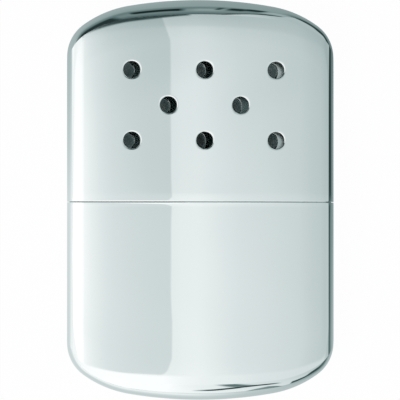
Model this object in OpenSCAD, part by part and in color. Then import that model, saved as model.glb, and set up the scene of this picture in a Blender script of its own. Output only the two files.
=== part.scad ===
// Catalytic hand warmer. It lies on its back: +X right, +Y towards the cap end, +Z out of the front.
// Y = 0 is half-way along the warmer and Z = 0 is the flat that it rests on. Lengths in millimetres.

/* [Case] */
// Width across the straight sides
body_w = 66.7; // [60:0.1:74]
// Length from the top of the cap to the bottom of the tank
body_h = 99; // [92:0.5:110]
// Thickness between the flats of the two faces
body_t = 14; // [13:0.1:17]
// Width of the flat along the middle of each crowned face
land_w = 10; // [4:0.5:16]
// Radius of the rolled long sides
side_r = 4; // [3.2:0.1:4.6]
// Wall of the drawn brass shells
wall = 0.5; // [0.4:0.05:0.7]

/* [End outline] */
// Radius of the long arc over the end
crown_r = 106; // [90:1:130]
// Angle that the long arc takes on each side of the middle
crown_a = 9.8; // [7:0.1:11]
// Radius of the shoulder arc
shoulder_r = 27; // [24:0.5:32]
// Radius of the corner arc, which runs into the straight side
corner_r = 10; // [8:0.5:12]
// Length over which the rolled rim would turn in by a full quarter, at the middle of the end
rim_d = 6.6; // [5:0.1:7]
// Angle of that quarter that the rim takes before it meets the face in a crease
rim_a = 71.6; // [66:0.2:84]
// Fullness of the rim's curve: 2 is an ellipse, and more is squarer
rim_full = 2.6; // [2:0.1:3]
// Share by which the rim gets slimmer from the middle to the sides
rim_slim = 0.45; // [0:0.05:0.5]

/* [Seam and collar] */
// Height of the cap, from its mouth to its top
cap_h = 49.8; // [46:0.1:54]
// Hairline between the cap and the tank
seam_gap = 0.2; // [0.1:0.05:0.4]
// Gap all round between the cap and the collar that it slides over
cap_fit = 0.15; // [0.1:0.01:0.25]
// Height of the collar above the tank
collar_up = 8; // [6:0.5:10]
// Depth of the collar inside the tank
collar_down = 6; // [5:0.5:10]
// Wall of the collar
collar_t = 0.6; // [0.5:0.05:0.8]
// Height of the collar's turned-in lip
collar_lip = 0.6; // [0.3:0.1:1.5]
// Depth of the deck below the tank's mouth
deck_drop = 1; // [0:0.5:2]
// Thickness of the deck plate and its flange
deck_t = 0.5; // [0.4:0.05:0.8]
// Depth of the deck's turned-down flange
deck_flange = 3.5; // [2:0.5:4.5]
// Width of the stiffening groove pressed into the deck round each end of the neck
groove_w = 1; // [0.6:0.1:1.2]
// Depth of the groove
groove_deep = 0.3; // [0.1:0.05:0.4]
// Distance from the neck to the middle of the groove
groove_off = 4; // [3:0.1:6]

/* [Vent holes] */
// Diameter of each vent hole
vent_d = 4.2; // [3:0.1:5]
// Distance between neighbouring holes in a row
vent_pitch_x = 18; // [14:0.5:20]
// Distance between the rows
vent_pitch_y = 8.7; // [7:0.1:10]
// Height of the middle row above the mid-length of the warmer
vent_y = 23.3; // [22:0.1:26]
// Holes in each of the three rows, counted from the top
vent_rows = [3, 2, 3];

/* [Filler neck] */
// Width of the neck outside
neck_w = 24; // [20:0.5:28]
// Thickness of the neck outside
neck_t = 8; // [7:0.1:8.4]
// Height of the neck above the deck
neck_up = 9; // [7:0.5:10]
// Depth of the neck below the top of the deck
neck_down = 3; // [2:0.5:4]
// Wall of the neck
neck_wall = 0.5; // [0.4:0.05:0.8]
// Width of the soldering flange round the foot of the neck
neck_flange = 1.2; // [0.8:0.1:1.4]
// Depth of the cotton below the mouth of the neck
wick_drop = 5; // [4.6:0.1:6]

/* [Burner] */
// Sheet thickness of the burner
burner_t = 0.4; // [0.3:0.05:0.5]
// Running fit between the burner's skirt and the neck
burner_fit = 0.08; // [0.04:0.01:0.1]
// Gap between the foot of the skirt and the deck
burner_foot = 0.6; // [0.4:0.1:1]
// Height of the skirt's flared foot
flare_h = 0.8; // [0.4:0.1:1]
// Distance by which the foot flares out
flare_out = 0.4; // [0.2:0.05:0.6]
// Depth of the catalyst mat
mat_h = 3.6; // [3:0.1:4]
// Height by which the cage laps over the skirt
cage_lap = 4; // [3:0.1:5]
// Windows in each long face of the cage
window_n = 5; // [3:1:5]
// Width of one window
window_w = 2.1; // [1.4:0.1:2.2]
// Bar left between two windows
window_bar = 0.9; // [0.6:0.1:1.2]
// Sheet left above and below the windows, taken together
window_edge = 0.6; // [0.4:0.1:1]
// Sheet left in front of and behind the windows in the top, within the neck's thickness
top_edge = 2; // [1.6:0.1:3]
// Spring slits on each long face of the skirt
slit_n = 2; // [1:1:3]
// Width of a spring slit
slit_w = 0.6; // [0.4:0.1:0.8]
// Height of a spring slit
slit_h = 4.6; // [3:0.1:5]
// Mesh of the wire gauze, wire to wire
gauze_pitch = 1.1; // [1:0.1:1.6]
// Thickness of the gauze wires
gauze_wire = 0.3; // [0.25:0.05:0.4]

/* [Cotton filling] */
// Space round each wad of cotton
wad_gap = 0.4; // [0.3:0.1:1]

/* [Hidden] */
$fn = 64;

chrome = [0.82, 0.86, 0.86];
tinned = [0.72, 0.73, 0.72];
steel = [0.62, 0.62, 0.6];
cotton = [0.93, 0.91, 0.85];
glass_fibre = [0.8, 0.79, 0.76];

half_w = body_w / 2;
half_h = body_h / 2;
half_t = body_t / 2;

// Heights along Y, from the seam upwards and downwards
seam_y = half_h - cap_h - seam_gap;
deck_y = seam_y - deck_drop;
neck_top = deck_y + neck_up;
ledge_y = neck_top + burner_t;
cage_top = ledge_y + mat_h + burner_t;

// Steps of the lofted shells: across a rolled side, across a face, and over the rim
side_n = 6;
face_n = 24;
rim_n = 8;
cols = 2 * side_n + face_n;

// Distance by which a cutting solid passes what it cuts
over = 1;
// Thickness of the plates that a flare is stretched between
sliver = 0.01;

// --- Cross-section: a flat land, two crown arcs and rolled sides, all tangent but at the land's edges ---

// Centre of a rolled side, and the depth of the crown arc's centre behind the mid-plane
side_x = half_w - side_r;
arc_k = pow(land_w / 2, 2) + half_t * half_t - side_r * side_r - side_x * side_x;
arc_a = 4 * (half_t * half_t - side_r * side_r);
arc_b = 4 * arc_k * half_t;
arc_c = arc_k * arc_k - 4 * side_r * side_r * side_x * side_x;
arc_q = (-arc_b + sqrt(arc_b * arc_b - 4 * arc_a * arc_c)) / (2 * arc_a);
arc_r = side_r + norm([side_x, arc_q]);
// Angle round the rolled side at which the crown arc takes over
side_a = acos(side_x / (arc_r - side_r));

// Half-thickness of the section at x, on the face
function face_z(x, inset) = min(half_t - inset, sqrt(pow(arc_r - inset, 2) - x * x) - arc_q);

// Column u of the section, as [x, half-thickness]: rolled side, face, rolled side
function column(u, inset) =
    u > cols / 2 ? [-column(cols - u, inset)[0], column(cols - u, inset)[1]]
    : u < side_n
        ? [side_x + (side_r - inset) * cos(side_a * u / side_n), (side_r - inset) * sin(side_a * u / side_n)]
        : let (x = (side_x + (side_r - inset) * cos(side_a)) * cos(180 * (u - side_n) / face_n))
            [x, face_z(x, inset)];

// The whole section as a loop of [x, z] about the mid-plane
function section(inset) = [
    for (u = [0:cols]) column(u, inset),
    for (u = [cols - 1:-1:1]) [column(u, inset)[0], -column(u, inset)[1]]
];

// --- End outline: long arc, shoulder arc and corner arc, tangent to each other and to the straight side ---

crown_c = half_h - crown_r;
shoulder_c = [(crown_r - shoulder_r) * sin(crown_a), crown_c + (crown_r - shoulder_r) * cos(crown_a)];
shoulder_a = asin((half_w - corner_r - shoulder_c[0]) / (shoulder_r - corner_r));
corner_c = shoulder_c + (shoulder_r - corner_r) * [sin(shoulder_a), cos(shoulder_a)];

// Height of the outline at x
function arc_y(c, r, x) = c[1] + sqrt(max(0, r * r - pow(x - c[0], 2)));
function outline_y(x, inset) =
    abs(x) < (crown_r - inset) * sin(crown_a) ? arc_y([0, crown_c], crown_r - inset, abs(x))
    : abs(x) < shoulder_c[0] + (shoulder_r - inset) * sin(shoulder_a)
        ? arc_y(shoulder_c, shoulder_r - inset, abs(x))
        : arc_y(corner_c, corner_r - inset, abs(x));

// --- Half a case: the section runs straight up from the mouth, and rolls over under the outline ---

// Length over which the rim would turn in at x
function rim_reach(x, inset) = rim_d * (1 - rim_slim * pow(x / half_w, 2)) - inset;

// Row v of the loft: row 0 is the mouth, row 1 the crease, and the last row the outline itself
function rim_row(v, mouth, inset) = [
    for (m = [0:2 * cols - 1])
        let (
            p = section(inset)[m],
            a = rim_a * (rim_n + 1 - v) / rim_n,
            y = outline_y(p[0], inset) - rim_reach(p[0], inset) * (1 - pow(cos(a), 2 / rim_full))
        )
        v == 0 ? [p[0], mouth, p[1]] : [p[0], y, p[1] * pow(sin(a) / sin(rim_a), 2 / rim_full)]
];

// The last row is flat, so its back half is the front half again
function loft_points(mouth, inset) = [
    for (v = [0:rim_n]) each rim_row(v, mouth, inset),
    for (m = [0:cols]) [section(inset)[m][0], outline_y(section(inset)[m][0], inset), 0]
];
loop_n = 2 * cols;
function loft_index(v, m) =
    let (w = m % loop_n) v <= rim_n ? v * loop_n + w : v * loop_n + (w <= cols ? w : loop_n - w);

// Triangles of one skin, turned outwards or inwards
function loft_faces(start, out) = [
    for (v = [0:rim_n], m = [0:loop_n - 1])
        let (
            a = start + loft_index(v, m),
            b = start + loft_index(v, m + 1),
            c = start + loft_index(v + 1, m + 1),
            d = start + loft_index(v + 1, m)
        )
        each [
            if (a != b && b != c) out ? [a, b, c] : [a, c, b],
            if (c != d && a != d) out ? [a, c, d] : [a, d, c]
        ]
];

// One drawn shell, open at its mouth
module half_case(mouth) {
    outer = loft_points(mouth, 0);
    inner = loft_points(mouth, wall);
    n = len(outer);
    lip = [
        for (m = [0:loop_n - 1])
            let (k = (m + 1) % loop_n)
            each [[m, n + m, n + k], [m, n + k, k]]
    ];
    polyhedron(concat(outer, inner), concat(loft_faces(0, true), loft_faces(n, false), lip), 10);
}

// The space inside a case, closed flat at its mouth
module case_inside(mouth, inset) {
    polyhedron(
        loft_points(mouth, inset),
        concat(loft_faces(0, true), [[for (m = [0:loop_n - 1]) m]]),
        10
    );
}

// A prism of the section between two heights
module section_prism(low, high, inset) {
    translate([0, high, 0]) rotate([90, 0, 0]) linear_extrude(high - low) polygon(section(inset));
}

// Lifts what is drawn about the mid-plane to its place above the rest flat
module lift() {
    translate([0, 0, half_t]) children();
}

// --- Cap: drawn shell with the vent holes through both faces ---

module vent_holes() {
    for (row = [0:len(vent_rows) - 1], i = [0:vent_rows[row] - 1])
        translate([(i - (vent_rows[row] - 1) / 2) * vent_pitch_x, vent_y + (1 - row) * vent_pitch_y, -body_t])
            cylinder(d = vent_d, h = 2 * body_t);
}

module cap_shell() {
    color(chrome) lift() difference() {
        half_case(seam_y + seam_gap);
        vent_holes();
    }
}

// --- Tank: the same shell, the other way round ---

module tank_shell() {
    color(chrome) lift() mirror([0, 1, 0]) half_case(-seam_y);
}

// --- Collar: a sleeve soldered inside the tank, drawn in above the seam for the cap to slide over. Its lip is
// turned in once more, to lead the cap on ---

module collar() {
    low = seam_y - collar_down;
    high = seam_y + collar_up;
    color(chrome) lift() difference() {
        union() {
            section_prism(low, seam_y, wall);
            section_prism(low, high - collar_lip, wall + cap_fit);
            section_prism(low, high, wall + 2 * cap_fit);
        }
        section_prism(low - over, high + over, wall + collar_t);
    }
}

// --- Deck: a shallow pan that closes the tank, with a groove pressed round each end of the neck's hole ---

// Two arcs at the same distance from the neck's ends, made wider by extra on both sides
module groove(low, high, extra) {
    outer = 2 * groove_off + groove_w + 2 * extra;
    inner = 2 * groove_off - groove_w - 2 * extra;
    difference() {
        oblong_prism(low, high, neck_w + outer, neck_t + outer);
        oblong_prism(low - over, high + over, neck_w + inner, neck_t + inner);
        cube([neck_w, 2 * body_h, 2 * body_t], center = true);
    }
}

module tank_deck() {
    edge = wall + collar_t;
    color(tinned) lift() difference() {
        union() {
            difference() {
                section_prism(deck_y - deck_flange, deck_y, edge);
                section_prism(deck_y - deck_flange - over, deck_y - deck_t, edge + deck_t);
            }
            intersection() {
                groove(deck_y - deck_t - groove_deep, deck_y - deck_t / 2, deck_t / 2);
                section_prism(deck_y - deck_flange, deck_y, edge);
            }
        }
        intersection() {
            groove(deck_y - groove_deep, deck_y + over, 0);
            section_prism(deck_y - deck_flange, deck_y + 2 * over, edge + deck_t);
        }
        oblong_prism(deck_y - over, deck_y + over, neck_w, neck_t);
    }
}

// --- Filler neck: an oblong tube with a soldering flange under the deck ---

// An oblong with round ends, and its prism along Y
module oblong(w, t) {
    square([w - t, t], center = true);
    for (s = [-1, 1]) translate([s * (w - t) / 2, 0]) circle(d = t);
}

module oblong_prism(low, high, w, t) {
    translate([0, high, 0]) rotate([90, 0, 0]) linear_extrude(high - low) oblong(w, t);
}

neck_in_w = neck_w - 2 * neck_wall;
neck_in_t = neck_t - 2 * neck_wall;

module filler_neck() {
    under = deck_y - deck_t;
    color(tinned) lift() difference() {
        union() {
            oblong_prism(deck_y - neck_down, neck_top, neck_w, neck_t);
            oblong_prism(under - neck_wall, under, neck_w + 2 * neck_flange, neck_t + 2 * neck_flange);
        }
        oblong_prism(deck_y - neck_down - over, neck_top + over, neck_in_w, neck_in_t);
    }
}

// --- Cotton: the wick in the neck, and the wads in the tank ---

wick_fit = 0.05;
module neck_wick() {
    color(cotton) lift()
        oblong_prism(deck_y - neck_down, neck_top - wick_drop, neck_in_w - 2 * wick_fit, neck_in_t - 2 * wick_fit);
}

// A stuffed pad: a rounded block whose sides draw in towards its corners
pad_n = 16;
pad_m = 8;
pad_square = 0.55;
function swell(c) = sign(c) * pow(abs(c), pad_square);
function pad_ring(j, size) = [
    for (i = [0:pad_n - 1])
        let (a = 360 * i / pad_n, b = -90 + 180 * j / pad_m)
        [size[0] / 2 * swell(cos(b)) * swell(cos(a)), size[1] / 2 * swell(cos(b)) * swell(sin(a)),
            size[2] / 2 * swell(sin(b))]
];
module pad(size) {
    rings = [for (j = [1:pad_m - 1]) each pad_ring(j, size)];
    poles = [[0, 0, -size[2] / 2], [0, 0, size[2] / 2]];
    n = len(rings);
    sides = [
        for (j = [0:pad_m - 3], i = [0:pad_n - 1])
            let (a = j * pad_n + i, b = j * pad_n + (i + 1) % pad_n)
            each [[a, a + pad_n, b + pad_n], [a, b + pad_n, b]]
    ];
    ends = [
        for (i = [0:pad_n - 1])
            let (k = (i + 1) % pad_n, top = n - pad_n)
            each [[n, i, k], [n + 1, top + k, top + i]]
    ];
    polyhedron(concat(rings, poles), concat(sides, ends), 4);
}

// Wads side by side, and one above the other
wad_cols = 3;
wad_rows = 2;
// The filling's room: below the foot of the collar, cut to the inside of the tank
wad_high = seam_y - collar_down - wad_gap;
wad_w = (body_w - 2 * wall) / wad_cols;
wad_h = (wad_high + half_h - wall) / wad_rows;

module cotton_wad(i) {
    col = (i - 1) % wad_cols;
    row = floor((i - 1) / wad_cols);
    x = (col - (wad_cols - 1) / 2) * wad_w;
    y = wad_high - (row + 0.5) * wad_h;
    color(cotton) lift() intersection() {
        translate([x, y, 0]) pad([wad_w - wad_gap, wad_h - wad_gap, body_t]);
        mirror([0, 1, 0]) case_inside(-wad_high, wall + wad_gap);
    }
}

// --- Burner: a spring skirt that slides over the neck, and a windowed cage that holds the catalyst ---

skirt_in = 2 * burner_fit;
skirt_out = skirt_in + 2 * burner_t;
cage_out = skirt_out + 2 * burner_t;
window_step = window_w + window_bar;

// An oblong that widens by grow on every side from the height high down to low
module flare(low, high, w, t, grow) {
    hull() {
        oblong_prism(low, low + sliver, w + 2 * grow, t + 2 * grow);
        oblong_prism(high - sliver, high, w, t);
    }
}

module burner_skirt() {
    foot = deck_y + burner_foot;
    color(steel) lift() difference() {
        union() {
            oblong_prism(foot, ledge_y, neck_w + skirt_out, neck_t + skirt_out);
            flare(foot, foot + flare_h, neck_w + skirt_out, neck_t + skirt_out, flare_out);
        }
        oblong_prism(foot - over, neck_top, neck_w + skirt_in, neck_t + skirt_in);
        flare(foot - sliver, foot + flare_h, neck_w + skirt_in, neck_t + skirt_in, flare_out);
        oblong_prism(foot, ledge_y + over, neck_in_w, neck_in_t);
        for (i = [0:slit_n - 1])
            translate([(i - (slit_n - 1) / 2) * neck_w / (slit_n + 1), foot + slit_h / 2 - over, 0])
                cube([slit_w, slit_h + 2 * over, body_t], center = true);
    }
}

// A window with round ends, cut through a depth
module window(w, h, depth) {
    cube([w, h - w, depth], center = true);
    for (s = [-1, 1]) translate([0, s * (h - w) / 2, 0]) cylinder(d = w, h = depth, center = true);
}

module burner_cage() {
    foot = ledge_y - cage_lap;
    span = neck_w + skirt_out;
    color(steel) lift() difference() {
        oblong_prism(foot, cage_top, neck_w + cage_out, neck_t + cage_out);
        oblong_prism(foot - over, cage_top - burner_t, span, neck_t + skirt_out);
        for (i = [0:window_n - 1]) translate([(i - (window_n - 1) / 2) * window_step, 0, 0]) {
            translate([0, ledge_y + mat_h / 2, 0]) window(window_w, mat_h - window_edge, body_t);
            translate([0, cage_top, 0]) rotate([90, 0, 0]) window(window_w, neck_t - top_edge, 4 * burner_t);
        }
    }
}

// Woven wire that keeps the catalyst behind the windows
gauze_cols = floor((neck_w - neck_t - gauze_wire) / gauze_pitch);
gauze_rows = floor((mat_h - gauze_wire) / gauze_pitch);
module gauze(side) {
    w = gauze_cols * gauze_pitch + gauze_wire;
    h = gauze_rows * gauze_pitch + gauze_wire;
    open = gauze_pitch - gauze_wire;
    z = neck_t / 2 + skirt_out / 2 - gauze_wire;
    color(steel) lift() translate([-w / 2, ledge_y + (mat_h - h) / 2, side > 0 ? z : -z - gauze_wire])
        linear_extrude(gauze_wire) difference() {
            square([w, h]);
            for (i = [0:gauze_cols - 1], j = [0:gauze_rows - 1])
                translate([gauze_wire + i * gauze_pitch, gauze_wire + j * gauze_pitch]) square(open);
        }
}
module gauze_front() { gauze(1); }
module gauze_back() { gauze(-1); }

module catalyst_mat() {
    side = skirt_out - 2 * gauze_wire;
    color(glass_fibre) lift() oblong_prism(ledge_y, cage_top - burner_t, neck_w + side, neck_t + side);
}

cap_shell();
tank_shell();
collar();
tank_deck();
filler_neck();
neck_wick();
cotton_wad(1);  // cotton_wad_1
cotton_wad(2);  // cotton_wad_2
cotton_wad(3);  // cotton_wad_3
cotton_wad(4);  // cotton_wad_4
cotton_wad(5);  // cotton_wad_5
cotton_wad(6);  // cotton_wad_6
burner_skirt();
burner_cage();
gauze_front();
gauze_back();
catalyst_mat();
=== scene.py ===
import math

import bmesh
import bpy
import numpy as np
from mathutils import Matrix, Vector, noise


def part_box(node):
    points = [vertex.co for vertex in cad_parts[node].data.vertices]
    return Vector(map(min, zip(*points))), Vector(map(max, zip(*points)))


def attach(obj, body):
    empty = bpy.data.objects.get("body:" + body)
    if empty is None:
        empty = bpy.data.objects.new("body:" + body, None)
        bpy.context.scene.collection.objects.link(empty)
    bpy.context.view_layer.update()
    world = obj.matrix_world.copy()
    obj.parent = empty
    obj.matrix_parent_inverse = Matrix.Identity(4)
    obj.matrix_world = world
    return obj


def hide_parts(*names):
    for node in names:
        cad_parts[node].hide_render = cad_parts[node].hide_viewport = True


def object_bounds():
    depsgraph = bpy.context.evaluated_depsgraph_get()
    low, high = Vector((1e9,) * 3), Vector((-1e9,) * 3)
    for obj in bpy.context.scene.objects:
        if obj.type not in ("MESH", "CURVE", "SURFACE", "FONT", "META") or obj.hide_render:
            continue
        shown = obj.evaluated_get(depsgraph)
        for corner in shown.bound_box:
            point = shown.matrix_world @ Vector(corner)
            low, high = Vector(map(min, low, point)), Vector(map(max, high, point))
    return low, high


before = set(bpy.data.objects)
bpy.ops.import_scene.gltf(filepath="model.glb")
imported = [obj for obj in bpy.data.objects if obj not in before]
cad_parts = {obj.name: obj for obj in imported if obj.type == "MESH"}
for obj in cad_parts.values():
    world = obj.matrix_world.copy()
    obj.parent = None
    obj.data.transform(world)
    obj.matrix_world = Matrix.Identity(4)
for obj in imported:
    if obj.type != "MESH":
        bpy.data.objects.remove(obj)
cad_box = [list(corner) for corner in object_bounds()]

# --- Camera ---
# The warmer lies on its back and fills the height of the picture. The camera is far above it with a long
# lens, a little to its left and almost level with its middle, so its left side shows more than its right.
MM = 0.001
camera_turn = math.radians(8.66)
camera_dip = math.radians(0.66)
camera_distance = 1200 * MM
camera_sight = 10000 * MM
picture_width = 99.11 * MM
camera_aim = (-0.19 * MM, -0.04 * MM)

object_middle = (Vector(cad_box[0]) + Vector(cad_box[1])) / 2
half_width, half_length, half_thick = (Vector(cad_box[1]) - Vector(cad_box[0])) / 2
towards_camera = Vector((-math.sin(camera_turn), -math.sin(camera_dip), 1)).normalized()
picture_right = Vector((0, 1, 0)).cross(towards_camera).normalized()
picture_up = towards_camera.cross(picture_right)
camera = bpy.data.objects.new("camera", bpy.data.cameras.new("camera"))
bpy.context.scene.collection.objects.link(camera)
camera.matrix_world = Matrix.LocRotScale(
    object_middle + camera_distance * towards_camera
    + camera_aim[0] * picture_right + camera_aim[1] * picture_up,
    Matrix((picture_right, picture_up, towards_camera)).transposed(),
    None,
)
camera.data.lens = camera.data.sensor_width * camera_distance / picture_width
camera.data.clip_end = camera_sight
bpy.context.scene.camera = camera
bpy.context.scene.view_settings.view_transform = "Standard"


# --- Table and tent ---
# A pale table runs out of sight on every side, under a soft light tent. The tent is what the chrome
# mirrors: bright on the left and at the foot, a grey panel overhead, a dark wall at the cap end and a dark
# gap low on the right.
def to_linear(colour):
    """The linear colour of an sRGB hex value such as E3EBEB, with an alpha of 1."""
    parts = [int(colour[i:i + 2], 16) / 255 for i in (0, 2, 4)]
    return [c / 12.92 if c <= 0.04045 else ((c + 0.055) / 1.055) ** 2.4 for c in parts] + [1.0]


def add_node(tree, kind, links=None, stops=None, **settings):
    """Adds a node with its settings. links gives an input, by name or number, a value, a socket or a node
    whose first output it takes. stops are a colour ramp's places and greys."""
    node = tree.nodes.new(kind)
    for key, value in settings.items():
        setattr(node, key, value)
    for key, value in (links or {}).items():
        socket = node.inputs[key] if isinstance(key, int) else next(
            s for s in node.inputs if s.name == key and s.enabled)
        if isinstance(value, bpy.types.Node):
            value = next(s for s in value.outputs if s.enabled)
        if isinstance(value, bpy.types.NodeSocket):
            tree.links.new(value, socket)
        else:
            socket.default_value = value
    if stops:
        while len(node.color_ramp.elements) < len(stops):
            node.color_ramp.elements.new(1.0)
        for element, (place, grey) in zip(node.color_ramp.elements, stops):
            element.position = place
            element.color = (grey, grey, grey, 1)
    return node


def share(degrees):
    """An angle as a place on a ramp, which runs from -180 to 180 degrees."""
    return 0.5 + degrees / 360


def dial(*stops):
    """Stops for a ramp over an angle, from pairs of degrees and grey."""
    return [(share(degrees), grey) for degrees, grey in stops]


def angle(tree, sine, cosine):
    """The angle whose sine and cosine are in these proportions, as a place on a ramp."""
    turn = add_node(tree, "ShaderNodeMath", {0: sine, 1: cosine}, operation="ARCTAN2")
    return add_node(tree, "ShaderNodeMath", {0: turn, 1: 0.5 / math.pi, 2: 0.5}, operation="MULTIPLY_ADD")


def beyond(tree, value, middle, half):
    """How far a value lies outside the range that reaches half to each side of the middle. Inside it is 0."""
    for operation, other in (("SUBTRACT", middle), ("ABSOLUTE", 0.0), ("SUBTRACT", half), ("MAXIMUM", 0.0)):
        value = add_node(tree, "ShaderNodeMath", {0: value, 1: other}, operation=operation)
    return value


edge_reach = 100 / 360


def below_edge(tree, edge, height):
    """How far a direction lies below a sloping edge, as a place on a ramp. The edge's own ramp gives its
    height, and a grey of 1 there is 100 degrees."""
    top = add_node(tree, "ShaderNodeMath", {
        0: edge, 1: edge_reach, 2: 2 * share(0)}, operation="MULTIPLY_ADD")
    return add_node(tree, "ShaderNodeMath", {0: top, 1: height}, operation="SUBTRACT")


def card(tree, behind, grey, sideways, upright, spans, soft):
    """Hangs a soft-edged oblong card in front of what is behind it. It spans two ranges of degrees."""
    shown = 1.0
    for place, (low, high), blur in zip((sideways, upright), spans, soft):
        for edge, half in ((low, blur / 2), (high, -blur / 2)):
            inside = add_node(tree, "ShaderNodeMapRange", {
                "Value": place, "From Min": share(edge - half), "From Max": share(edge + half)})
            shown = add_node(tree, "ShaderNodeMath", {0: shown, 1: inside}, operation="MULTIPLY")
    return add_node(tree, "ShaderNodeMix", {"Factor": shown, "A": behind, "B": grey})


cold_power = 1.22
least_red = 0.6


def cooled(tree, grey):
    """A grey as a colour. Dim light in the tent is a little colder than bright light."""
    red = add_node(tree, "ShaderNodeMath", {0: grey, 1: cold_power}, operation="POWER")
    least = add_node(tree, "ShaderNodeMath", {0: grey, 1: least_red}, operation="MULTIPLY")
    red = add_node(tree, "ShaderNodeMath", {0: red, 1: least}, operation="MAXIMUM")
    return add_node(tree, "ShaderNodeCombineColor", {"Red": red, "Green": grey, "Blue": grey})


world = bpy.data.worlds.new("tent")
bpy.context.scene.world = world
world.use_nodes = True
tree = world.node_tree
tree.nodes.clear()
direction = add_node(tree, "ShaderNodeTexCoord").outputs["Generated"]
east, north, up = add_node(tree, "ShaderNodeSeparateXYZ", {0: direction}).outputs
level = add_node(tree, "ShaderNodeCombineXYZ", {"X": east, "Y": north})
level = add_node(tree, "ShaderNodeVectorMath", {0: level}, operation="LENGTH").outputs["Value"]
# Directions: roll about the warmer's length, lean towards its cap end, bearing, and height over the table,
# which has a ripple in it because the tent is of cloth. Across is the place on a level ceiling or on the end
# walls, whichever is nearer.
roll = angle(tree, east, up)
lean = angle(tree, north, up)
bearing = angle(tree, east, north)
ripple_high = 3 / 360
ripple = add_node(tree, "ShaderNodeTexNoise", {"Vector": direction, "Scale": 9.0, "Detail": 2.0})
ripple = add_node(tree, "ShaderNodeMath", {
    0: ripple, 1: ripple_high, 2: -ripple_high / 2}, operation="MULTIPLY_ADD")
height = add_node(tree, "ShaderNodeMath", {0: angle(tree, up, level), 1: ripple}, operation="ADD")
end_wall = add_node(tree, "ShaderNodeMath", {0: north}, operation="ABSOLUTE")
end_wall = add_node(tree, "ShaderNodeMath", {0: end_wall, 1: up}, operation="MAXIMUM")
across = angle(tree, east, end_wall)

# Overhead: a grey panel with round corners, and lighter cloth around it that darkens to the right. The
# panel's long edges bend to the left at their ends.
panel_middle = -8
panel_foot = -5.3
panel_corner = 1.4 / 360
panel_half = 10.1 / 360 - panel_corner
panel_blur = 0.15 / 360
panel_bend = 0.4
straight_middle = 0.3
straight_half = 1.6 / 360
bend = beyond(tree, lean, share(straight_middle), straight_half)
place = add_node(tree, "ShaderNodeMath", {0: bend, 1: panel_bend, 2: roll}, operation="MULTIPLY_ADD")
grey_panel = add_node(tree, "ShaderNodeValToRGB", {"Fac": place}, dial(
    (-17.2, 1.19), (-15.4, 1.1), (-13.4, 0.98), (-10.4, 0.885), (-6.4, 0.835), (-2.4, 0.805), (1.5, 0.795),
))
cloth = add_node(tree, "ShaderNodeValToRGB", {"Fac": roll}, dial(
    (-50, 1.3), (-16, 1.22), (2, 0.97), (4, 1.0), (7.7, 1.01), (11.7, 0.94), (15.8, 0.88), (20, 0.85),
    (28.3, 0.78), (30.5, 0.73), (34, 0.68), (45, 0.66), (80, 0.68),
))
aside = beyond(tree, place, share(panel_middle), panel_half)
corner_lean = share(panel_foot) + panel_corner
below = add_node(tree, "ShaderNodeMath", {0: corner_lean, 1: lean}, operation="SUBTRACT")
below = add_node(tree, "ShaderNodeMath", {0: below, 1: 0.0}, operation="MAXIMUM")
outside = add_node(tree, "ShaderNodeCombineXYZ", {"X": aside, "Y": below})
outside = add_node(tree, "ShaderNodeVectorMath", {0: outside}, operation="LENGTH").outputs["Value"]
outside = add_node(tree, "ShaderNodeMapRange", {
    "Value": outside, "From Min": panel_corner - panel_blur, "From Max": panel_corner + panel_blur})
grey = add_node(tree, "ShaderNodeMix", {"Factor": outside, "A": grey_panel, "B": cloth})
# It fades towards the cap end. A ramp has 256 steps, so this one runs over 60 degrees only.
fade_low, fade_high = -20, 40
fading = add_node(tree, "ShaderNodeMapRange", {
    "Value": lean, "From Min": share(fade_low), "From Max": share(fade_high)})
fading = add_node(tree, "ShaderNodeValToRGB", {"Fac": fading}, [
    ((degrees - fade_low) / (fade_high - fade_low), part) for degrees, part in (
        (-5, 1.03), (-1, 1.0), (0.4, 0.97), (0.9, 0.94), (2.2, 0.9), (3.2, 0.83), (5.7, 0.77),
        (6.3, 0.68), (8.5, 0.58), (30, 0.75),
    )
])
faded = add_node(tree, "ShaderNodeValToRGB", {"Fac": roll}, dial(
    (-17, 0.45), (-8, 0.85), (8, 1.0), (18, 0.8), (32, 0.6),
))
fading = add_node(tree, "ShaderNodeMix", {"Factor": faded, "A": 1.0, "B": fading})
grey = add_node(tree, "ShaderNodeMath", {0: grey, 1: fading}, operation="MULTIPLY")

# The wall at the foot, white on the left, hangs from the panel's lower edge
all_round = (-179, 179)
foot_wall = add_node(tree, "ShaderNodeValToRGB", {"Fac": across}, dial(
    (-60, 1.1), (-20, 1.2), (0, 1.17), (3, 1.1), (8, 1.03), (14, 0.98), (20, 0.91), (30, 0.84),
    (40, 0.79), (50, 0.7), (60, 0.62), (90, 0.6),
))
grey = card(tree, grey, foot_wall, roll, lean, (all_round, (-179, panel_foot)), (1, 0.4))
# A dark streak across the foot wall, and a grey wedge over it
streak = add_node(tree, "ShaderNodeValToRGB", {"Fac": bearing}, dial(
    (150, 0.29), (156, 0.325), (160, 0.31), (165, 0.26), (168, 0.22), (174, 0.19),
))
streak = add_node(tree, "ShaderNodeMath", {0: streak, 1: -edge_reach, 2: height}, operation="MULTIPLY_ADD")
grey = card(tree, grey, 0.06, bearing, streak, ((150, 172), (-4, 4)), (4, 2))
grey = card(tree, grey, 0.2, bearing, height, ((155, 162), (35, 51)), (3, 3))

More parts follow.
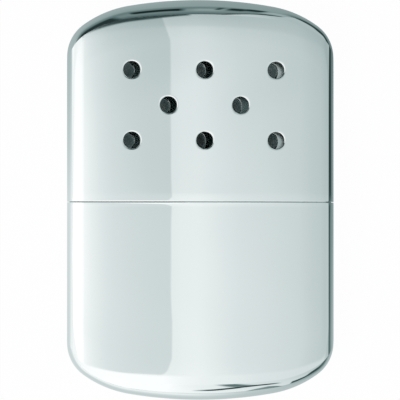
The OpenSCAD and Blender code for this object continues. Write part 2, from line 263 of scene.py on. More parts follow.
# The wall at the cap end, with lighter and darker cards on it, given by grey, spans of bearing and height,
# and softness. Its top slopes down to the right and has a dark hem.
wall_top = add_node(tree, "ShaderNodeValToRGB", {"Fac": bearing}, dial(
    (-75, 0.0), (-60, 0.53), (10, 0.53), (15, 0.51), (20, 0.49), (22, 0.45), (23.5, 0.39), (25.5, 0.335),
    (28, 0.31), (31, 0.27), (33, 0.0),
))
under_top = below_edge(tree, wall_top, height)
cap_wall = add_node(tree, "ShaderNodeValToRGB", {"Fac": height}, dial(
    (0, 0.35), (8, 0.26), (14, 0.22), (30, 0.27), (36, 0.26), (42, 0.21), (48, 0.17),
))
for card_grey, spans, soft in (
    (0.38, ((6, 14.5), (18, 33)), (4, 8)),
    (0.04, ((-120, -19), (21, 90)), (5, 8)),
    (0.02, ((-8.5, 4), (16, 31)), (2, 5)),
    (0.08, ((11.8, 13.2), (8, 24)), (0.8, 5)),
    (0.03, ((14.6, 18.6), (8, 24)), (1, 5)),
    (0.03, ((17.6, 21.6), (4, 18)), (1, 5)),
    (0.45, ((22.5, 60), (6, 23)), (1.5, 6)),
):
    cap_wall = card(tree, cap_wall, card_grey, bearing, height, spans, soft)
cap_wall = card(tree, cap_wall, 0.05, roll, under_top, (all_round, (-9, 3.5)), (1, 2))
cap_wall = card(tree, cap_wall, 0.03, bearing, under_top, ((19, 27), (0, 8)), (2, 2))
grey = card(tree, grey, cap_wall, roll, under_top, (all_round, (0, 90)), (1, 1))
# A dark hem along the panel's upper edge on the left
hem_slope = 0.07
hem_lean = 7.75
hem = add_node(tree, "ShaderNodeMath", {0: roll, 1: -hem_slope, 2: lean}, operation="MULTIPLY_ADD")
hem = add_node(tree, "ShaderNodeMath", {0: hem, 1: hem_slope * share(0) - hem_lean / 360}, operation="ADD")
grey = card(tree, grey, 0.06, roll, hem, ((-19.5, 5.5), (0, 26)), (1, 0.2))

# The gap between the tent and the table on the right, darkest beside the cap
gap_top = add_node(tree, "ShaderNodeValToRGB", {"Fac": bearing}, dial(
    (31, 0.0), (35, 0.03), (45, 0.05), (50, 0.12), (84, 0.03), (89, 0.13), (120, 0.24), (132, 0.2),
    (137, 0.12), (145, 0.15), (149, 0.0), (153, 0.0), (156, 0.18), (161, 0.08), (163, 0.0),
))
under_gap_top = below_edge(tree, gap_top, height)
gap = add_node(tree, "ShaderNodeValToRGB", {"Fac": bearing}, dial(
    (89, 0.035), (91, 0.15), (125, 0.15), (132, 0.08), (145, 0.1), (158, 0.3),
))
grey = card(tree, grey, gap, bearing, under_gap_top, ((31, 163), (0, 60)), (1, 4))

# Matt surfaces get only part of the tent's light, because the lamp lights them too. The camera sees white.
matt_part = 0.42
light = cooled(tree, grey)
rays = add_node(tree, "ShaderNodeLightPath")
fill = add_node(tree, "ShaderNodeMapRange", {
    "Value": rays.outputs["Is Diffuse Ray"], "To Min": 1.0, "To Max": matt_part})
lit = add_node(tree, "ShaderNodeBackground", {"Color": light, "Strength": fill})
backdrop = add_node(tree, "ShaderNodeBackground", {"Color": (1, 1, 1, 1), "Strength": 1.0})
either = add_node(tree, "ShaderNodeMixShader", {0: rays.outputs["Is Camera Ray"], 1: lit, 2: backdrop})
add_node(tree, "ShaderNodeOutputWorld", {"Surface": either})

# One wide lamp stands at the lower left, so the shadow falls away from the camera
lamp_distance = 1400 * MM
lamp_side = Vector((-0.55, -0.5, 0.75)).normalized()
lamp = bpy.data.objects.new("softbox", bpy.data.lights.new("softbox", "AREA"))
lamp.data.shape = "DISK"
lamp.data.size = 700 * MM
lamp.data.energy = 11
lamp_place = object_middle + lamp_distance * lamp_side
lamp_turn = (lamp_place - object_middle).to_track_quat("Z", "Y")
lamp.matrix_world = Matrix.LocRotScale(lamp_place, lamp_turn, None)
lamp.visible_glossy = False
bpy.context.scene.collection.objects.link(lamp)

# White laminate is smooth and pale. To the camera it is almost white, with a faint shadow that is partly
# real, from the lamp, and partly painted. Where the warmer covers it, painted shade makes it dark and takes
# away its glow.
table_size = 4000 * MM
table_gap = 0.02 * MM
cover_reach = 150 * MM
covered, uncovered = 0.15, 0.3
glow_part = 0.98
bpy.ops.mesh.primitive_plane_add(size=table_size, location=(0, 0, -table_gap))
table = bpy.context.object
table.name = "table_top"
laminate = bpy.data.materials.new("white laminate")
laminate.use_nodes = True
tree = laminate.node_tree
tree.nodes.clear()
open_sky = add_node(tree, "ShaderNodeAmbientOcclusion", {"Distance": cover_reach}, samples=12).outputs["AO"]
open_sky = add_node(tree, "ShaderNodeMapRange", {
    "Value": open_sky, "From Min": covered, "From Max": uncovered})
# Painted shade: where the occlusion mask finds the warmer close over it, the laminate's colour turns dark
# grey
laminate_with_painted_shade = add_node(tree, "ShaderNodeMix", {
    "Factor": open_sky, "A": to_linear("7A9090"), "B": to_linear("E8F2F2")}, data_type="RGBA")
top = add_node(tree, "ShaderNodeBsdfDiffuse", {"Color": laminate_with_painted_shade})
glow = add_node(tree, "ShaderNodeEmission", {"Color": (1, 1, 1, 1), "Strength": 1.0})
rays = add_node(tree, "ShaderNodeLightPath")
shine = add_node(tree, "ShaderNodeMath", {
    0: rays.outputs["Is Camera Ray"], 1: rays.outputs["Is Transmission Ray"]}, operation="MAXIMUM")
# Painted shadow: the glow fades with the same occlusion mask, under the warmer and beside it
for part in (glow_part, open_sky):
    shine = add_node(tree, "ShaderNodeMath", {0: shine, 1: part}, operation="MULTIPLY")
either = add_node(tree, "ShaderNodeMixShader", {0: shine, 1: top, 2: glow})
# Painted light and shade: the chrome sees the table as a glow painted by bearing and distance, bright on the
# left and at the foot, grey on the right and dark far out beside the cap. The near tones turn into the far
# ones over a band round the warmer.
band = (15 * MM, 50 * MM)
band_corner = 6 * MM
from_middle = add_node(tree, "ShaderNodeTexCoord").outputs["Object"]
east, north, _ = add_node(tree, "ShaderNodeSeparateXYZ", {0: from_middle}).outputs
bearing = angle(tree, east, north)
near = add_node(tree, "ShaderNodeValToRGB", {"Fac": bearing}, dial(
    (-179, 0.67), (-140, 0.78), (-90, 0.8), (-60, 0.62), (-30, 0.47), (0, 0.4), (40, 0.36), (48, 0.25),
    (64, 0.37), (100, 0.38), (125, 0.52), (145, 0.58), (179, 0.67),
))
far = add_node(tree, "ShaderNodeValToRGB", {"Fac": bearing}, dial(
    (-179, 1.0), (-130, 1.1), (-90, 1.0), (-50, 0.45), (-10, 0.4), (25, 0.37), (35, 0.06), (89, 0.06),
    (91, 0.24), (120, 0.35), (140, 0.35), (152, 0.58), (165, 0.7), (179, 1.0),
))
gone = add_node(tree, "ShaderNodeCombineXYZ", {
    "X": beyond(tree, east, 0.0, half_width - band_corner),
    "Y": beyond(tree, north, 0.0, half_length - band_corner)})
gone = add_node(tree, "ShaderNodeVectorMath", {0: gone}, operation="LENGTH").outputs["Value"]
gone = add_node(tree, "ShaderNodeMapRange", {"Value": gone, "From Min": band[0], "From Max": band[1]})
painted_table_light = add_node(tree, "ShaderNodeMix", {"Factor": gone, "A": near, "B": far})
painted_table_light = add_node(tree, "ShaderNodeEmission", {"Color": cooled(tree, painted_table_light)})
either = add_node(tree, "ShaderNodeMixShader", {0: rays.outputs["Is Glossy Ray"], 1: either, 2: painted_table_light})
add_node(tree, "ShaderNodeOutputMaterial", {"Surface": either})
table.data.materials.append(laminate)


# --- Cap shell ---
# The cap is one deep-drawn brass cup, pierced with eight vents in each face and then polished and chrome
# plated. Its face is crowned across and straight along, and a soft crease parts it from the rim that rolls
# over the end.
cap_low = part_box("cap_shell")[0]
wall = 0.5 * MM
side_radius = 4 * MM
# The end's outline: a long arc, a shoulder arc and a corner arc
end_radius = 106 * MM
end_angle = math.radians(9.8)
shoulder_radius = 27 * MM
corner_radius = 10 * MM
# The rim rolls over along an oval that is fuller than a round one
rim_depth = 6.6 * MM
rim_slim = 0.45
rim_full = 2.6
rim_angle = math.radians(71.6)
crease_edge = 0.04 * MM
# How far the faces sink below the full thickness
sag_depth = 10 * MM
sag = 0.35 * MM
barrel = 0.12 * MM
taper = 0.08 * MM
spare = 0.05 * MM
dent = 0.03 * MM
dent_across = 38 * MM
dent_along = 57 * MM
dent_sway = 0.3
# The mouth's rounded edge, the height and depth of the band beside it that is drawn in, and how much lower
# the mouth is than the solid's, to put the seam at its true height
mouth_edge = 0.08 * MM
cap_mouth_form = (2.2 * MM, 0.048 * MM)
cap_mouth_drop = 0.2 * MM
vent_radius = 2.05 * MM
vent_coin = 0.3 * MM
vent_pitch = (18 * MM, 8.7 * MM)
vent_middle = 23.3 * MM
vent_rows = (3, 2, 3)
# A vent is cut in a square patch of the mesh. These are its half-width and the cells and rows of the mesh.
vent_patch = 3.4 * MM
patch_cells = 14
gap_cells = 4
patch_rings = 5
coin_rings = 7
side_cells = 14
lip_rows = 4
bend_rows = 7
sag_rows = 12
rim_rows = 40
# Columns keep their x over the first part of the crown, and rows their y over the second part of the width
column_fixed = 0.72
row_level = 0.65

side_x = half_width - side_radius
face_radius = (side_x ** 2 + half_thick ** 2 - side_radius ** 2) / (2 * (half_thick - side_radius))
face_sink = face_radius - half_thick
side_angle = math.acos(side_x / (face_radius - side_radius))
crown_edge = side_x + side_radius * math.cos(side_angle)
shoulder_x = (end_radius - shoulder_radius) * math.sin(end_angle)
shoulder_y = half_length - end_radius + (end_radius - shoulder_radius) * math.cos(end_angle)
shoulder_angle = math.asin((half_width - corner_radius - shoulder_x) / (shoulder_radius - corner_radius))
corner_x = half_width - corner_radius
corner_y = shoulder_y + (shoulder_radius - corner_radius) * math.cos(shoulder_angle)


def section_z(x, inset):
    """Half-thickness of the case at x: the crown's arc, or the rolled side's arc that it runs into."""
    a = np.abs(x)
    r = side_radius - inset
    rolled = np.sqrt(np.maximum(r * r - (a - side_x) ** 2, 0))
    crowned = np.sqrt((face_radius - inset) ** 2 - a * a) - face_sink
    return np.where(a > side_x + r * math.cos(side_angle), rolled, crowned)


def outline_y(x, inset):
    """Height of the end outline at x: a long arc, a shoulder arc and a corner arc."""
    a = np.abs(x)

    def arc(cx, cy, r):
        return cy + np.sqrt(np.maximum((r - inset) ** 2 - (a - cx) ** 2, 0))

    long_arc = arc(0, half_length - end_radius, end_radius)
    shoulder = arc(shoulder_x, shoulder_y, shoulder_radius)
    corner = arc(corner_x, corner_y, corner_radius)
    y = np.where(a < shoulder_x + (shoulder_radius - inset) * math.sin(shoulder_angle), shoulder, corner)
    return np.where(a < (end_radius - inset) * math.sin(end_angle), long_arc, y)


def rim_reach(x, inset):
    """How far the rim at x reaches in from the outline. It is slimmer towards the corners."""
    return rim_depth * (1 - rim_slim * (x / half_width) ** 2) - inset


def case_z(x, y, inset, mouth, form):
    """Half-thickness of the case at (x, y): the section, rolled over at the crease. It also sinks a little
    towards the crease, the mouth and both ends, and has the faint dents of a pressed sheet."""
    depth = outline_y(x, inset) - y
    c = np.clip(1 - depth / rim_reach(x, inset), 0, 1)
    full = np.minimum((1 - c ** rim_full) ** (1 / rim_full) / math.sin(rim_angle) ** (2 / rim_full), 1)
    drop = sag * np.clip(1 - depth / sag_depth, 0, 1) ** 2 + barrel * (y / half_length) ** 2
    drop = drop + taper * y / half_length + spare
    drop = drop + form[1] * np.clip(1 - (y - mouth) / form[0], 0, 1) ** 2
    wave = x / dent_across + dent_sway * np.sin(2 * math.pi * y / dent_along)
    drop = drop + dent / 2 * (1 + np.sin(2 * math.pi * wave))
    return section_z(x, inset) * full * (1 - drop / half_thick)


def steps(breaks, counts):
    """Evenly spaced values between each two breaks, which part them into these counts of cells."""
    parts = [np.linspace(a, b, n, endpoint=False) for a, b, n in zip(breaks, breaks[1:], counts)]
    return np.concatenate(parts + [[breaks[-1]]])


def case_columns(face_x, inset):
    """x of each column, from the left side to the right one. face_x runs from the middle to the crown's
    edge, and its outer columns move with the inset."""
    fixed = face_x[-1] * column_fixed
    edge = side_x + (side_radius - inset) * math.cos(side_angle)
    moved = fixed + (face_x - fixed) * (edge - fixed) / (face_x[-1] - fixed)
    angles = np.linspace(side_angle, 0, side_cells + 1)[1:]
    rolled = side_x + (side_radius - inset) * np.cos(angles)
    half = np.concatenate([np.where(face_x > fixed, moved, face_x), rolled])
    return np.concatenate([-half[:0:-1], half])


def case_grid(mouth, form, face_x, face_y, inset, curl):
    """Points of one skin over the front half, as an array [row, column, xyz]. The rows run from the mouth's
    rounded lip to the outline. curl is 1 where the lip rounds inwards and -1 where it rounds outwards."""
    rows = []
    for a in np.linspace(0, math.pi / 2, lip_rows + 1)[:-1]:
        here = inset + curl * mouth_edge * (1 - math.sin(a))
        x = case_columns(face_x, here)
        y = np.full_like(x, mouth + mouth_edge * (1 - math.cos(a)))
        rows.append(np.stack([x, y, case_z(x, y, here, mouth, form)], axis=1))
    # Rows that are level in the middle and bend with the outline towards the sides and the end
    x = case_columns(face_x, inset)
    blend = np.clip((np.abs(x) - row_level * half_width) / ((1 - row_level) * half_width), 0, 1)
    blend = blend * blend * (3 - 2 * blend)
    start = mouth + mouth_edge
    bent = outline_y(x, inset) - sag_depth
    bent_middle = half_length - inset - sag_depth
    last = face_y[-1]
    above = np.linspace(last, bent_middle, bend_rows + 1)[1:]
    for y in np.concatenate([face_y, above]):
        level = y if y <= last else last + (y - last) * (bent - last) / (bent_middle - last)
        stretched = start + (y - start) * (bent - start) / (bent_middle - start)
        here = level * (1 - blend) + stretched * blend
        rows.append(np.stack([x, here, case_z(x, here, inset, mouth, form)], axis=1))
    # Rows that follow the outline, to the crease and then round the rim
    reach = rim_reach(x, inset)
    crease = reach * (1 - math.cos(rim_angle) ** (2 / rim_full))
    for depth in [*np.linspace(sag_depth, crease + crease_edge, sag_rows + 1)[1:], crease]:
        y = outline_y(x, inset) - depth
        rows.append(np.stack([x, y, case_z(x, y, inset, mouth, form)], axis=1))
    turns = np.linspace(rim_angle, 0, rim_rows + 1)[1:]
    for a in np.append(rim_angle * (1 - crease_edge / rim_depth), turns):
        y = outline_y(x, inset) - reach * (1 - math.cos(a) ** (2 / rim_full))
        z = case_z(x, y, inset, mouth, form) if a > 0 else np.zeros_like(x)
        rows.append(np.stack([x, y, z], axis=1))
    return np.array(rows)


class Skin:
    """Collects points and faces of a mesh, a material number for each face, and welds it at the end."""

    weld = 1e-7

    def __init__(self):
        self.points, self.faces, self.slots = [], [], []

    def add(self, points):
        """Adds points and gives their numbers."""
        first = len(self.points)
        self.points.extend(map(tuple, points))
        return range(first, first + len(points))

    def face(self, corners, slot=0):
        """One face over the points with these numbers."""
        self.faces.append(tuple(corners))
        self.slots.append(slot)

    def strip(self, a, b, slot=0, closed=False):
        """Quads between two equal rows of point numbers."""
        count = len(a) if closed else len(a) - 1
        for i in range(count):
            k = (i + 1) % len(a)
            self.face((a[i], a[k], b[k], b[i]), slot)

    def build(self, name):
        """The welded mesh as a smooth object."""
        mesh = bpy.data.meshes.new(name)
        mesh.from_pydata(self.points, [], self.faces)
        mesh.polygons.foreach_set("material_index", self.slots)
        piece = bpy.data.objects.new(name, mesh)
        bpy.context.scene.collection.objects.link(piece)
        bm = bmesh.new()
        bm.from_mesh(mesh)
        bmesh.ops.remove_doubles(bm, verts=bm.verts, dist=self.weld)
        bmesh.ops.dissolve_degenerate(bm, dist=self.weld, edges=bm.edges)
        bmesh.ops.recalc_face_normals(bm, faces=bm.faces)
        for face in bm.faces:
            face.smooth = True
        bm.to_mesh(mesh)
        bm.free()
        return piece


def vent_rings(grid, rows, cols, centre, radii, drops, inset, mouth, form):
    """The border of a square patch of the grid, as grid places, and rings of points from it in to a round
    hole. radii are those of the rings at the hole's edge, and drops how far each is sunk."""
    j0, j1 = rows
    u0, u1 = cols
    border = [(j0, u) for u in range(u0, u1)] + [(j, u1) for j in range(j0, j1)]
    border += [(j1, u) for u in range(u1, u0, -1)] + [(j, u0) for j in range(j1, j0, -1)]
    square = np.array([grid[j, u, :2] for j, u in border])
    angles = np.radians(-135 + 360 * np.arange(len(border)) / len(border))
    unit = np.stack([np.cos(angles), np.sin(angles)], axis=1)
    rings = []
    for part in np.linspace(0, 1, patch_rings + 2)[1:-1]:
        xy = square * (1 - part) + (centre + unit * radii[0]) * part
        rings.append(np.column_stack([xy, case_z(xy[:, 0], xy[:, 1], inset, mouth, form)]))
    for radius, drop in zip(radii, drops):
        xy = centre + unit * radius
        rings.append(np.column_stack([xy, case_z(xy[:, 0], xy[:, 1], inset, mouth, form) - drop]))
    return border, rings


def placed(points, side):
    """Points of the front half where the case lies. side is 1 for the front and -1 for the back."""
    return [(p[0], p[1], half_thick + side * p[2]) for p in points]


def make_case(name, mouth, form, vents, face_x, face_y):
    """One drawn shell with its closed end up, as a mesh with the outside in slot 0 and the inside in 1."""
    skin = Skin()
    hole_rims = {}
    mouth_rows = {}
    coin = np.radians(np.linspace(0, 90, coin_rings))
    coined = (vent_radius + vent_coin * (1 - np.sin(coin)), vent_coin * (1 - np.cos(coin)))
    plain = (np.array([vent_radius]), np.array([0.0]))
    for layer, inset, curl in ((0, 0.0, 1), (1, wall, -1)):
        grid = case_grid(mouth, form if layer == 0 else (form[0], 0.0), face_x, face_y, inset, curl)
        column_x = grid[lip_rows, :, 0]
        row_y = grid[:, grid.shape[1] // 2, 1]
        radii, drops = coined if layer == 0 else plain
        holes = []
        for centre in vents:
            cols = [int(np.argmin(np.abs(column_x - centre[0] - s * vent_patch))) for s in (-1, 1)]
            rows = [int(np.argmin(np.abs(row_y - centre[1] - s * vent_patch))) for s in (-1, 1)]
            holes.append((centre, rows, cols))
        for side in (1, -1):
            numbers = [skin.add(placed(row, side)) for row in grid]
            for j in range(len(numbers) - 1):
                for u in range(grid.shape[1] - 1):
                    if any(r[0] <= j < r[1] and c[0] <= u < c[1] for _, r, c in holes):
                        continue
                    a, b = numbers[j], numbers[j + 1]
                    skin.face((a[u], a[u + 1], b[u + 1], b[u]), layer)
            mouth_rows[layer, side] = numbers[0]
            for k, (centre, rows, cols) in enumerate(holes):
                border, rings = vent_rings(
                    grid, rows, cols, np.array(centre), radii, drops, inset, mouth, form)
                last = [numbers[j][u] for j, u in border]
                for ring in rings:
                    here = skin.add(placed(ring, side))
                    skin.strip(last, here, layer, closed=True)
                    last = here
                hole_rims[layer, side, k] = last
    for side in (1, -1):
        skin.strip(mouth_rows[0, side], mouth_rows[1, side])
        for k in range(len(vents)):
            skin.strip(hole_rims[0, side, k], hole_rims[1, side, k], closed=True)
    return skin.build(name)


vents = [
    ((i - (count - 1) / 2) * vent_pitch[0], vent_middle + (1 - row) * vent_pitch[1])
    for row, count in enumerate(vent_rows) for i in range(count)
]
patch_x = [c * vent_pitch[0] + s * vent_patch for c in (0.5, 1) for s in (-1, 1)]
patch_y = [vent_middle + r * vent_pitch[1] + s * vent_patch for r in (-1, 0, 1) for s in (-1, 1)]
cap_face_x = steps(
    [0, vent_patch] + patch_x + [crown_edge],
    [patch_cells // 2, gap_cells, patch_cells, gap_cells, patch_cells, 14])
cap_mouth = cap_low[1] - cap_mouth_drop
cap_face_y = steps(
    [cap_mouth + mouth_edge, cap_mouth + cap_mouth_form[0]] + patch_y,
    [10, 9, patch_cells, gap_cells, patch_cells, gap_cells, patch_cells])
cap = make_case("cap", cap_mouth, cap_mouth_form, vents, cap_face_x, cap_face_y)
haze_size = 14 * MM
haze_more = 0.03


def mirror_metal(name, colour, roughness):
    """A bright metal. It mirrors as sharply as its finish lets it, and less so in patches where it has been
    handled."""
    material = bpy.data.materials.new(name)
    material.use_nodes = True
    tree = material.node_tree
    shader = tree.nodes["Principled BSDF"]
    shader.inputs["Metallic"].default_value = 1.0
    shader.inputs["Base Color"].default_value = to_linear(colour)
    place = add_node(tree, "ShaderNodeTexCoord").outputs["Object"]
    haze = add_node(tree, "ShaderNodeTexNoise", {
        "Vector": place, "Scale": 1 / haze_size, "Detail": 4.0, "Roughness": 0.6})
    rough = add_node(tree, "ShaderNodeMapRange", {
        "Value": haze.outputs["Fac"], "From Min": 0.35, "From Max": 0.75,
        "To Min": roughness, "To Max": roughness + haze_more})
    tree.links.new(rough.outputs["Result"], shader.inputs["Roughness"])
    return material


# Chrome over polished brass is a cold, almost sharp mirror. Inside the shells the brass isn't polished before
# it is plated, so there the chrome blurs what it mirrors. Its greyer, darker colour there is painted shade
# for the inside of the shells.
plate = mirror_metal("chrome-plated brass, polished", "E7EEEE", 0.015)
bare_chrome_with_painted_shade = mirror_metal("chrome-plated brass, unpolished inside, with painted shade", "B4C0BF", 0.12)
cap.data.materials.append(plate)
cap.data.materials.append(bare_chrome_with_painted_shade)
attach(cap, "cap")
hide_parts("cap_shell")

# --- Tank shell ---
# The tank is the same drawn and chromed cup without vents, the other way up. Its mouth meets the cap's in a
# hairline, and its front is left bare.
tank_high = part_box("tank_shell")[1]
tank_mouth_form = (1.2 * MM, -0.05 * MM)
tank_mouth_drop = 0.16 * MM
level_end = 14 * MM
tank_mouth = -tank_high[1] + tank_mouth_drop
tank_face_x = steps([0, crown_edge], [50])
tank_face_y = steps(
    [tank_mouth + mouth_edge, tank_mouth + tank_mouth_form[0], half_length - level_end], [10, 30])
tank = make_case("tank", tank_mouth, tank_mouth_form, [], tank_face_x, tank_face_y)
tank.data.transform(Matrix.Scale(-1, 4, (0, 1, 0)))
tank.data.flip_normals()
tank.data.materials.append(plate)
# Its inside takes the same blurred chrome, whose greyer colour is painted shade
tank.data.materials.append(bare_chrome_with_painted_shade)
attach(tank, "tank")
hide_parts("tank_shell")


# --- Collar ---
# A sleeve of the same chromed brass, soldered inside the tank's mouth. Above the seam it is drawn in a
# little for the cap to slide over, and its lip is turned in.
collar_low, collar_high = (corner[1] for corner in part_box("collar"))
cap_fit = 0.15 * MM
collar_wall = 0.6 * MM
collar_lip = 0.6 * MM
collar_lip_round = 0.14 * MM
collar_foot = 0.1 * MM
collar_step = 0.3 * MM
seam = tank_high[1]


def section_loop(inset):
    """The case's section as a closed loop of (x, z) about the middle of its thickness."""
    x = case_columns(steps([0, crown_edge], [40]), inset)
    z = section_z(x, inset)
    return np.concatenate([np.stack([x, z], axis=1), np.stack([x, -z], axis=1)[-2:0:-1]])


def sweep(name, rings):
    """A closed mesh over loops of (x, z), each at its own height y. rings holds (y, loop) pairs."""
    skin = Skin()
    rows = [skin.add([(x, y, half_thick + z) for x, z in loop]) for y, loop in rings]
    for a, b in zip(rows, rows[1:] + rows[:1]):
        skin.strip(a, b, closed=True)
    return skin.build(name)


def rounded(y, low, high, radius, count=5):
    """A lip at height y, rounded at both sides, as (y, inset) pairs from the low inset to the high one."""
    turn = np.linspace(0, math.pi / 2, count)
    first = [(y - radius * (1 - math.sin(a)), low + radius * (1 - math.cos(a))) for a in turn]
    return first + [(y - radius * (1 - math.sin(a)), high - radius * (1 - math.cos(a))) for a in turn[::-1]]


collar_out = wall + cap_fit
collar_in = wall + collar_wall
lip_out = wall + 2 * cap_fit
collar_profile = (
    [(collar_low, wall + collar_foot), (collar_low + collar_foot, wall)]
    + [(seam - collar_step, wall), (seam, collar_out)]
    + [(collar_high - collar_lip, collar_out), (collar_high - collar_lip + cap_fit, lip_out)]
    + rounded(collar_high, lip_out, collar_in, collar_lip_round)
    + [(collar_low, collar_in)]
)
collar = sweep("collar_sleeve", [(y, section_loop(inset)) for y, inset in collar_profile])
collar.data.materials.append(plate)
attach(collar, "tank")
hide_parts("collar")

# --- Tank deck and filler neck ---
# The deck is a shallow pressed pan of nickelled brass that closes the tank, stiffened by a groove round each
# end of its oblong hole. A drawn neck with a smooth lip is soldered into the hole, and the cotton shows
# inside it.
neck_low, neck_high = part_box("filler_neck")
deck_low, deck_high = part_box("tank_deck")
neck_width = 24 * MM
neck_thick = 8 * MM
neck_wall = 0.5 * MM
neck_lip_round = 0.24 * MM
neck_flange = (neck_high[0] - neck_low[0] - neck_width) / 2
deck_thick = 0.5 * MM
deck_round = 0.8 * MM
deck_rings = 61
groove_width = 1 * MM
groove_depth = 0.3 * MM
groove_away = 4 * MM
groove_blur = 0.6


def oblong_loop(grow):
    """An oblong with round ends as a closed loop. It has as many points as the section's loop, in the same
    order, evenly spaced from the middle of the left end."""
    r = neck_thick / 2 + grow
    straight = neck_width - neck_thick
    quarter = math.pi * r / 2
    whole = 2 * straight + 2 * math.pi * r
    count = len(section_loop(0.0))
    points = []
    for s in np.arange(count) / count * whole:
        if s < quarter:
            a = s / r
            points.append((-straight / 2 - r * math.cos(a), r * math.sin(a)))
        elif s < quarter + straight:
            points.append((-straight / 2 + s - quarter, r))
        elif s < 3 * quarter + straight:
            a = (s - quarter - straight) / r
            points.append((straight / 2 + r * math.sin(a), r * math.cos(a)))
        elif s < 3 * quarter + 2 * straight:
            points.append((straight / 2 - (s - 3 * quarter - straight), -r))
        else:
            a = (s - 3 * quarter - 2 * straight) / r
            points.append((-straight / 2 - r * math.sin(a), -r * math.cos(a)))
    return np.array(points)


under = deck_high[1] - deck_thick
hole_loop = oblong_loop(0.0)
flat_loop = section_loop(collar_in + deck_round)
under_loop = section_loop(collar_in + deck_round + deck_thick)
pan = [(deck_low[1], section_loop(collar_in + deck_thick)), (deck_low[1], section_loop(collar_in))]
for a in np.linspace(0, math.pi / 2, 7):
    inset = collar_in + deck_round * (1 - math.cos(a))
    pan.append((deck_high[1] - deck_round * (1 - math.sin(a)), section_loop(inset)))
for k in np.linspace(0.02, 1, deck_rings):
    pan.append((deck_high[1], flat_loop * (1 - k) + hole_loop * k))
for k in np.linspace(1, 0, deck_rings):
    pan.append((under, under_loop * (1 - k) + hole_loop * k))
deck = sweep("deck_pan", pan)
# The flat part is pressed down where it lies groove_away from the neck, but only beyond the neck's ends
half_straight = (neck_width - neck_thick) / 2
for v in deck.data.vertices:
    if v.co.y > under - 1e-6:
        away = math.hypot(max(abs(v.co.x) - half_straight, 0), v.co.z - half_thick) - neck_thick / 2
        off = abs(away - groove_away) / groove_width
        end = min(max((abs(v.co.x) - neck_width / 2) / groove_width, 0), 1)
        v.co.y -= groove_depth * end * math.exp(-(off / groove_blur) ** 2)
# Satin nickel over brass is a warm grey that mirrors softly
nickel = mirror_metal("nickel-plated brass, satin", "C9C6BD", 0.22)
deck.data.materials.append(nickel)
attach(deck, "tank")
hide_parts("tank_deck")

neck_profile = (
    [(neck_low[1], -neck_wall), (neck_low[1], 0.0), (under - neck_wall, 0.0)]
    + [(under - neck_wall, neck_flange), (under, neck_flange), (under, 0.0)]
    + [(y, -inset) for y, inset in rounded(neck_high[1], 0.0, neck_wall, neck_lip_round, 7)]
)
neck = sweep("neck_tube", [(y, oblong_loop(grow)) for y, grow in neck_profile])
neck.data.materials.append(nickel)
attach(neck, "tank")
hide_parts("filler_neck")


# --- Cotton ---
# Cotton wool: a wick packed into the neck, and six wads that fill the tank and hold the fuel. Each is a
# loose tuft of fibres, so its skin is matt, white and uneven.
def fibrous(name, settings):
    """A fibrous material with settings for its shader, as (material, node tree, place on the object)."""
    material = bpy.data.materials.new(name)
    material.use_nodes = True
    tree = material.node_tree
    for key, value in settings.items():
        tree.nodes["Principled BSDF"].inputs[key].default_value = value
    return material, tree, add_node(tree, "ShaderNodeTexCoord").outputs["Object"]


def dress(tree, colour, bump):
    """Links a colour and a bump to a material's shader."""
    shader = tree.nodes["Principled BSDF"]
    for key, node in (("Base Color", colour), ("Normal", bump)):
        tree.links.new(next(o for o in node.outputs if o.enabled), shader.inputs[key])


# Carded cotton wool looks soft and milky, because light scatters among its fibres. They are too fine to
# show, so they are drawn as strands of 1.2 mm, in tufts of 2.5 mm.
strand_size = 1.2 * MM
tuft_size = 2.5 * MM
wool, tree, place = fibrous("cotton wool", {
    "Roughness": 0.95, "Sheen Weight": 0.5, "Sheen Roughness": 0.6,
    "Subsurface Weight": 0.15, "Subsurface Scale": 0.8 * MM})
tufts = add_node(tree, "ShaderNodeTexNoise", {
    "Vector": place, "Scale": 1 / tuft_size, "Detail": 6.0, "Roughness": 0.7})
colour = add_node(tree, "ShaderNodeMix", {
    "Factor": tufts, "A": to_linear("D8D2C2"), "B": to_linear("F6F3EA")}, data_type="RGBA")
strands = add_node(tree, "ShaderNodeTexWave", {
    "Vector": place, "Scale": 1 / strand_size, "Distortion": 12.0, "Detail": 4.0, "Detail Scale": 2.0})
relief = add_node(tree, "ShaderNodeMath", {0: strands, 1: tufts}, operation="ADD")
bump = add_node(tree, "ShaderNodeBump", {"Height": relief, "Strength": 0.8, "Distance": 0.12 * MM})
dress(tree, colour, bump)
clump_size = 3.2 * MM
wisp_size = 0.9 * MM
wisp_shift = Vector((7, 3, 5))


def tuft(name, node, body, cell, depth, material):
    """A fibrous pad in the space that a CAD node holds: its shape with a skin pressed in unevenly by up to
    depth."""
    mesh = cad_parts[node].data.copy()
    mesh.materials.clear()
    piece = bpy.data.objects.new(name, mesh)
    bpy.context.scene.collection.objects.link(piece)
    remesh = piece.modifiers.new("remesh", "REMESH")
    remesh.mode = "VOXEL"
    remesh.voxel_size = cell
    bpy.context.view_layer.update()
    done = bpy.data.meshes.new_from_object(piece.evaluated_get(bpy.context.evaluated_depsgraph_get()))
    piece.modifiers.clear()
    piece.data = done
    normals = [v.normal.copy() for v in done.vertices]
    for v, normal in zip(done.vertices, normals):
        clump = noise.noise(v.co / clump_size) * 0.5 + 0.5
        wisp = noise.noise(v.co / wisp_size + wisp_shift) * 0.5 + 0.5
        v.co -= normal * depth * (0.15 + 0.55 * clump + 0.3 * wisp)
    for polygon in done.polygons:
        polygon.use_smooth = True
    done.materials.append(material)
    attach(piece, body)
    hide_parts(node)


tuft("wick", "neck_wick", "tank", 0.4 * MM, 0.5 * MM, wool)
for i in range(1, 7):
    tuft(f"wad_{i}", f"cotton_wad_{i}", "tank", 0.9 * MM, 1.2 * MM, wool)

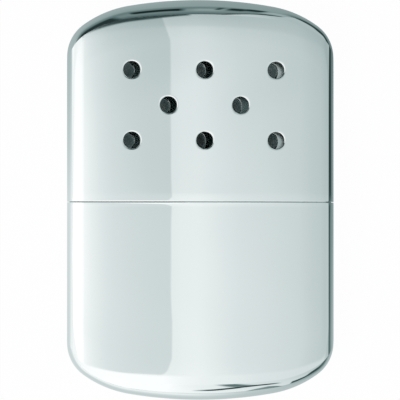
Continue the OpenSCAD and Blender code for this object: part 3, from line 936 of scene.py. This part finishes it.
# --- Burner ---
# A spring skirt of stainless sheet slides over the neck, and a cage with rows of windows is pressed over it.
# Woven wire behind the windows holds a mat of glass fibre, which carries the catalyst.
sheet_edge = 0.07 * MM
sheet_weld = 1e-6
sharp_from = math.radians(35)
# Pressed and tumbled stainless steel is a warm grey with a soft shine
steel = mirror_metal("stainless steel sheet, pressed", "BDB9B1", 0.2)


def pressed_sheet(name, node, body):
    """The CAD sheet with its sharp edges broken, as tumbled pressings have them."""
    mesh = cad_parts[node].data.copy()
    mesh.materials.clear()
    mesh.materials.append(steel)
    piece = bpy.data.objects.new(name, mesh)
    bpy.context.scene.collection.objects.link(piece)
    bm = bmesh.new()
    bm.from_mesh(mesh)
    bmesh.ops.remove_doubles(bm, verts=bm.verts, dist=sheet_weld)
    sharp = [e for e in bm.edges if e.is_manifold and e.calc_face_angle(0) > sharp_from]
    bmesh.ops.bevel(
        bm, geom=sharp, offset=sheet_edge, segments=2, profile=0.6, affect="EDGES", clamp_overlap=True)
    for face in bm.faces:
        face.smooth = True
    bm.to_mesh(mesh)
    bm.free()
    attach(piece, body)
    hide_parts(node)


pressed_sheet("skirt", "burner_skirt", "burner")
pressed_sheet("cage", "burner_cage", "burner")

# Plain weave of drawn stainless wire, dull from its annealing. Each wire waves over and under those that
# cross it.
wire = mirror_metal("woven stainless wire", "A9A59C", 0.28)
wire_radius = 0.1 * MM
wire_pitch = 0.55 * MM
wire_sides = 6
wire_rings = 4
for name, node in (("front_gauze", "gauze_front"), ("back_gauze", "gauze_back")):
    low, high = (Vector(corner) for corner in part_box(node))
    middle = (low[2] + high[2]) / 2
    rise = (high[2] - low[2]) / 2 - wire_radius
    skin = Skin()
    for along in (0, 1):
        other = 1 - along
        room = high[other] - low[other] - 2 * wire_radius
        count = int(round(room / wire_pitch)) + 1
        gap = room / (count - 1)
        length = high[along] - low[along]
        for k in range(count):
            last = None
            for t in np.linspace(0, 1, int(length / wire_pitch * wire_rings) + 1):
                centre = [0.0, 0.0, 0.0]
                centre[along] = low[along] + length * t
                centre[other] = low[other] + wire_radius + gap * k
                wave = math.cos(math.pi * (centre[along] - low[along] - wire_radius) / gap)
                centre[2] = middle + (1 if along else -1) * (-1) ** k * rise * wave
                ring = []
                for c in range(wire_sides):
                    a = 2 * math.pi * c / wire_sides
                    point = list(centre)
                    point[other] += wire_radius * math.cos(a)
                    point[2] += wire_radius * math.sin(a)
                    ring.append(point)
                here = skin.add(ring)
                if last:
                    skin.strip(last, here, closed=True)
                else:
                    skin.face(here)
                last = here
            skin.face(last)
    piece = skin.build(name)
    piece.data.materials.append(wire)
    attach(piece, "burner")
    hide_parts(node)

# Needled glass fibre is off-white and silky, and the catalyst greys it in patches of about 3 mm. Its strands
# are drawn 0.9 mm apart, because single fibres are too fine to show.
glass_size = 0.9 * MM
patch_size = 3 * MM
mat, tree, place = fibrous("glass fibre mat with catalyst", {"Roughness": 0.85, "Sheen Weight": 0.3})
strands = add_node(tree, "ShaderNodeTexWave", {
    "Vector": place, "Scale": 1 / glass_size, "Distortion": 9.0, "Detail": 5.0, "Detail Scale": 1.5})
patches = add_node(tree, "ShaderNodeTexNoise", {"Vector": place, "Scale": 1 / patch_size, "Detail": 5.0})
blend = add_node(tree, "ShaderNodeMath", {0: strands, 1: 0.4, 2: patches}, operation="MULTIPLY_ADD")
colour = add_node(tree, "ShaderNodeMix", {
    "Factor": blend, "A": to_linear("8D8980"), "B": to_linear("D6D2C8")}, data_type="RGBA")
bump = add_node(tree, "ShaderNodeBump", {"Height": strands, "Strength": 0.9, "Distance": 0.1 * MM})
dress(tree, colour, bump)
tuft("catalyst", "catalyst_mat", "burner", 0.3 * MM, 0.2 * MM, mat)
